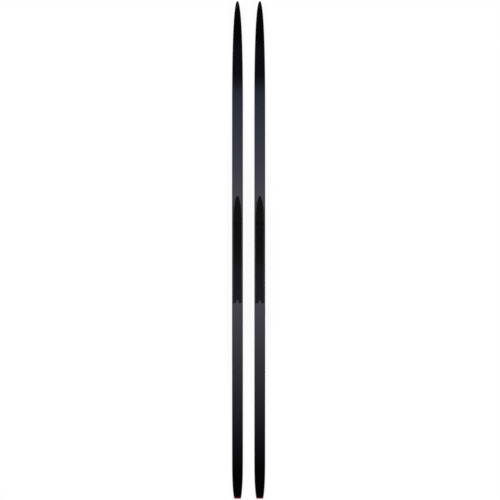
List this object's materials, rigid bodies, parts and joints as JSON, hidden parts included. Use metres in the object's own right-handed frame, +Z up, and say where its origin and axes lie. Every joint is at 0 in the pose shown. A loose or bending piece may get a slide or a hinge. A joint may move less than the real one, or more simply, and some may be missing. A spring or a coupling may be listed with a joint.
{
  "type": "cross-country skis",
  "caption": "Slim cambered racing skis with upturned pointed tips, square tails, bevelled topsheets and a railed plate on each that takes a binding.",
  "frame": {"origin": "on the ground under the middle of the pair, halfway between tips and tails and midway between the skis", "axes": "+X to the right seen from above with the tips away, +Y towards the tips, +Z up"},
  "size_m": [0.134, 2.006, 0.058],
  "materials": {
    "topsheet": "satin printed sheet, slate grey in the middle fading to black at both ends",
    "binding_plate": "moulded near-black plastic with a fine grain",
    "tip_guard": "moulded black plastic",
    "tail_protector": "moulded dark red plastic",
    "base": "sintered running base with a fine stone-ground structure",
    "carbon": "carbon fibre laminate, cured resin",
    "sidewall": "milled black plastic",
    "core": "planed light wood",
    "reinforcement": "glass fibre sheet",
    "filler": "milled black plastic block"
  },
  "bodies": {
    "left_ski": {"left_base": "base", "left_lower_laminate": "carbon", "left_core": "core", "left_outer_sidewall": "sidewall", "left_inner_sidewall": "sidewall", "left_reinforcement": "reinforcement", "left_upper_laminate": "carbon", "left_topsheet": "topsheet", "left_tip_guard": "tip_guard", "left_tip_filler": "filler", "left_tail_filler": "filler", "left_tail_protector": "tail_protector", "left_binding_plate": "binding_plate"},
    "right_ski": {"right_base": "base", "right_lower_laminate": "carbon", "right_core": "core", "right_outer_sidewall": "sidewall", "right_inner_sidewall": "sidewall", "right_reinforcement": "reinforcement", "right_upper_laminate": "carbon", "right_topsheet": "topsheet", "right_tip_guard": "tip_guard", "right_tip_filler": "filler", "right_tail_filler": "filler", "right_tail_protector": "tail_protector", "right_binding_plate": "binding_plate"}
  },
  "joints": [
    {"name": "right_ski_glide", "type": "slide", "parent": "left_ski", "child": "right_ski", "axis": [0, 1, 0], "range_m": [-0.5, 0.5]}
  ]
}
